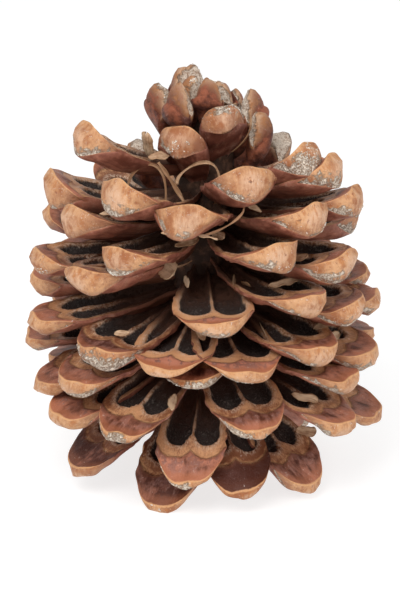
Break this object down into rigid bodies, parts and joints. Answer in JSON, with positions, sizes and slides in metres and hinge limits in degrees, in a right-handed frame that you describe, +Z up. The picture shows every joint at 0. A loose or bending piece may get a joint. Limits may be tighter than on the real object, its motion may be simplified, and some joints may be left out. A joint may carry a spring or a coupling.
{
  "type": "pine cone",
  "caption": "Dry, fully open stone-pine cone standing upright: thick woody scales with twin seed hollows spiral round a short axis and close into a small knot at the top.",
  "frame": {"origin": "centre of the cone's box at the level it stands on", "axes": "+Z up the woody axis to the closed knot; -Y is the side the picture shows; +X is to the right in the picture"},
  "size_m": [0.107, 0.1064, 0.1227],
  "materials": {
    "scale_wood": "satin",
    "seed_wing": "matte",
    "dried_resin": "satin"
  },
  "bodies": {
    "root": {"cone": "scale_wood"}
  },
  "joints": []
}
